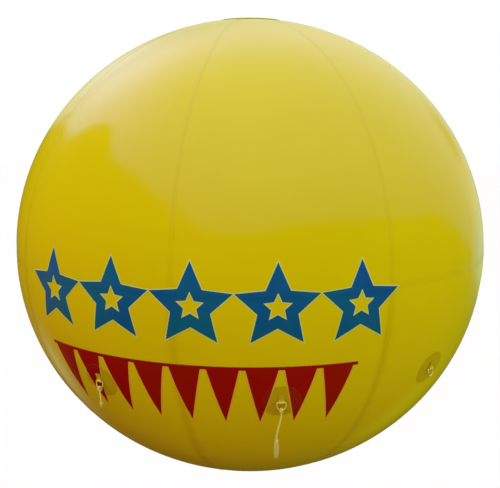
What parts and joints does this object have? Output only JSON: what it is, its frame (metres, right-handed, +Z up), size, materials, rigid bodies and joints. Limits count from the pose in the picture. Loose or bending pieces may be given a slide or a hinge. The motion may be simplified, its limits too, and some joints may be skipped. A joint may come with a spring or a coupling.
{
  "type": "tethered advertising balloon",
  "caption": "Film sphere welded from panels, with tether rings hinged on patches round its lower half, short tied cords and a lidded filling valve at its foot.",
  "frame": {"origin": "the middle of the sphere, where its lift acts", "axes": "+Z up, -Y the front: the middle of the gore that faces the viewer, +X to the right of it"},
  "size_m": [2.4064, 2.4064, 2.3599],
  "materials": {
    "film": "glossy PVC film",
    "weld_film": "glossy double film",
    "cap_film": "glossy double film",
    "patch_film": "satin double film",
    "strap": "coated webbing",
    "ring_steel": "plated wire",
    "cord": "braided polyester",
    "valve_moulding": "moulded",
    "valve_membrane": "matt",
    "print_blue": "glossy applied film",
    "print_red": "glossy applied film",
    "print_edge": "glossy applied film"
  },
  "bodies": {
    "root": {"upper_panel_1": "film", "upper_panel_2": "film", "upper_panel_3": "film", "upper_panel_4": "film", "upper_panel_5": "film", "upper_panel_6": "film", "upper_panel_7": "film", "upper_panel_8": "film", "lower_panel_1": "film", "lower_panel_2": "film", "lower_panel_3": "film", "lower_panel_4": "film", "lower_panel_5": "film", "lower_panel_6": "film", "lower_panel_7": "film", "lower_panel_8": "film", "meridian_weld_1": "weld_film", "meridian_weld_2": "weld_film", "meridian_weld_3": "weld_film", "meridian_weld_4": "weld_film", "meridian_weld_5": "weld_film", "meridian_weld_6": "weld_film", "meridian_weld_7": "weld_film", "meridian_weld_8": "weld_film", "equator_weld": "weld_film", "top_cap": "cap_film", "bottom_cap": "cap_film", "tether_patch_1": "patch_film", "tether_keeper_1": "strap", "tether_patch_2": "patch_film", "tether_keeper_2": "strap", "tether_patch_3": "patch_film", "tether_keeper_3": "strap", "tether_patch_4": "patch_film", "tether_keeper_4": "strap", "tether_patch_5": "patch_film", "tether_keeper_5": "strap", "tether_patch_6": "patch_film", "tether_keeper_6": "strap", "tether_patch_7": "patch_film", "tether_keeper_7": "strap", "tether_patch_8": "patch_film", "tether_keeper_8": "strap", "valve_base": "valve_moulding", "valve_membrane": "valve_membrane"},
    "ring_1": {"tether_ring_1": "ring_steel", "tie_hitch_1": "cord", "tie_cord_1": "cord", "tie_tail_1": "cord"},
    "ring_2": {"tether_ring_2": "ring_steel", "tie_hitch_2": "cord", "tie_cord_2": "cord", "tie_tail_2": "cord"},
    "ring_3": {"tether_ring_3": "ring_steel"},
    "ring_4": {"tether_ring_4": "ring_steel"},
    "ring_5": {"tether_ring_5": "ring_steel"},
    "ring_6": {"tether_ring_6": "ring_steel"},
    "ring_7": {"tether_ring_7": "ring_steel"},
    "ring_8": {"tether_ring_8": "ring_steel"},
    "lid": {"valve_lid": "valve_moulding"}
  },
  "joints": [
    {"name": "ring_1_swing", "type": "hinge", "parent": "root", "child": "ring_1", "pos_m": [0, -1.09579, -0.49268], "axis": [-1, 0, 0], "range_deg": [-8, 125]},
    {"name": "ring_2_swing", "type": "hinge", "parent": "root", "child": "ring_2", "pos_m": [-0.7628, -0.80382, -0.46603], "axis": [-0.7254, 0.6884, 0], "range_deg": [-8, 125]},
    {"name": "ring_3_swing", "type": "hinge", "parent": "root", "child": "ring_3", "pos_m": [-1.10642, 0, -0.46986], "axis": [0, 1, 0], "range_deg": [-20, 140]},
    {"name": "ring_4_swing", "type": "hinge", "parent": "root", "child": "ring_4", "pos_m": [-0.78236, 0.78236, -0.46986], "axis": [0.7071, 0.7071, 0], "range_deg": [-20, 140]},
    {"name": "ring_5_swing", "type": "hinge", "parent": "root", "child": "ring_5", "pos_m": [0, 1.10642, -0.46986], "axis": [1, 0, 0], "range_deg": [-20, 140]},
    {"name": "ring_6_swing", "type": "hinge", "parent": "root", "child": "ring_6", "pos_m": [0.78236, 0.78236, -0.46986], "axis": [0.7071, -0.7071, 0], "range_deg": [-20, 140]},
    {"name": "ring_7_swing", "type": "hinge", "parent": "root", "child": "ring_7", "pos_m": [1.10642, 0, -0.46986], "axis": [0, -1, 0], "range_deg": [-20, 140]},
    {"name": "ring_8_swing", "type": "hinge", "parent": "root", "child": "ring_8", "pos_m": [0.72443, -0.8482, -0.44632], "axis": [-0.7604, -0.6494, 0], "range_deg": [-20, 140]},
    {"name": "lid_hinge", "type": "hinge", "parent": "root", "child": "lid", "pos_m": [0.0265, 0, -1.19], "axis": [0, -1, 0], "range_deg": [0, 170]}
  ]
}
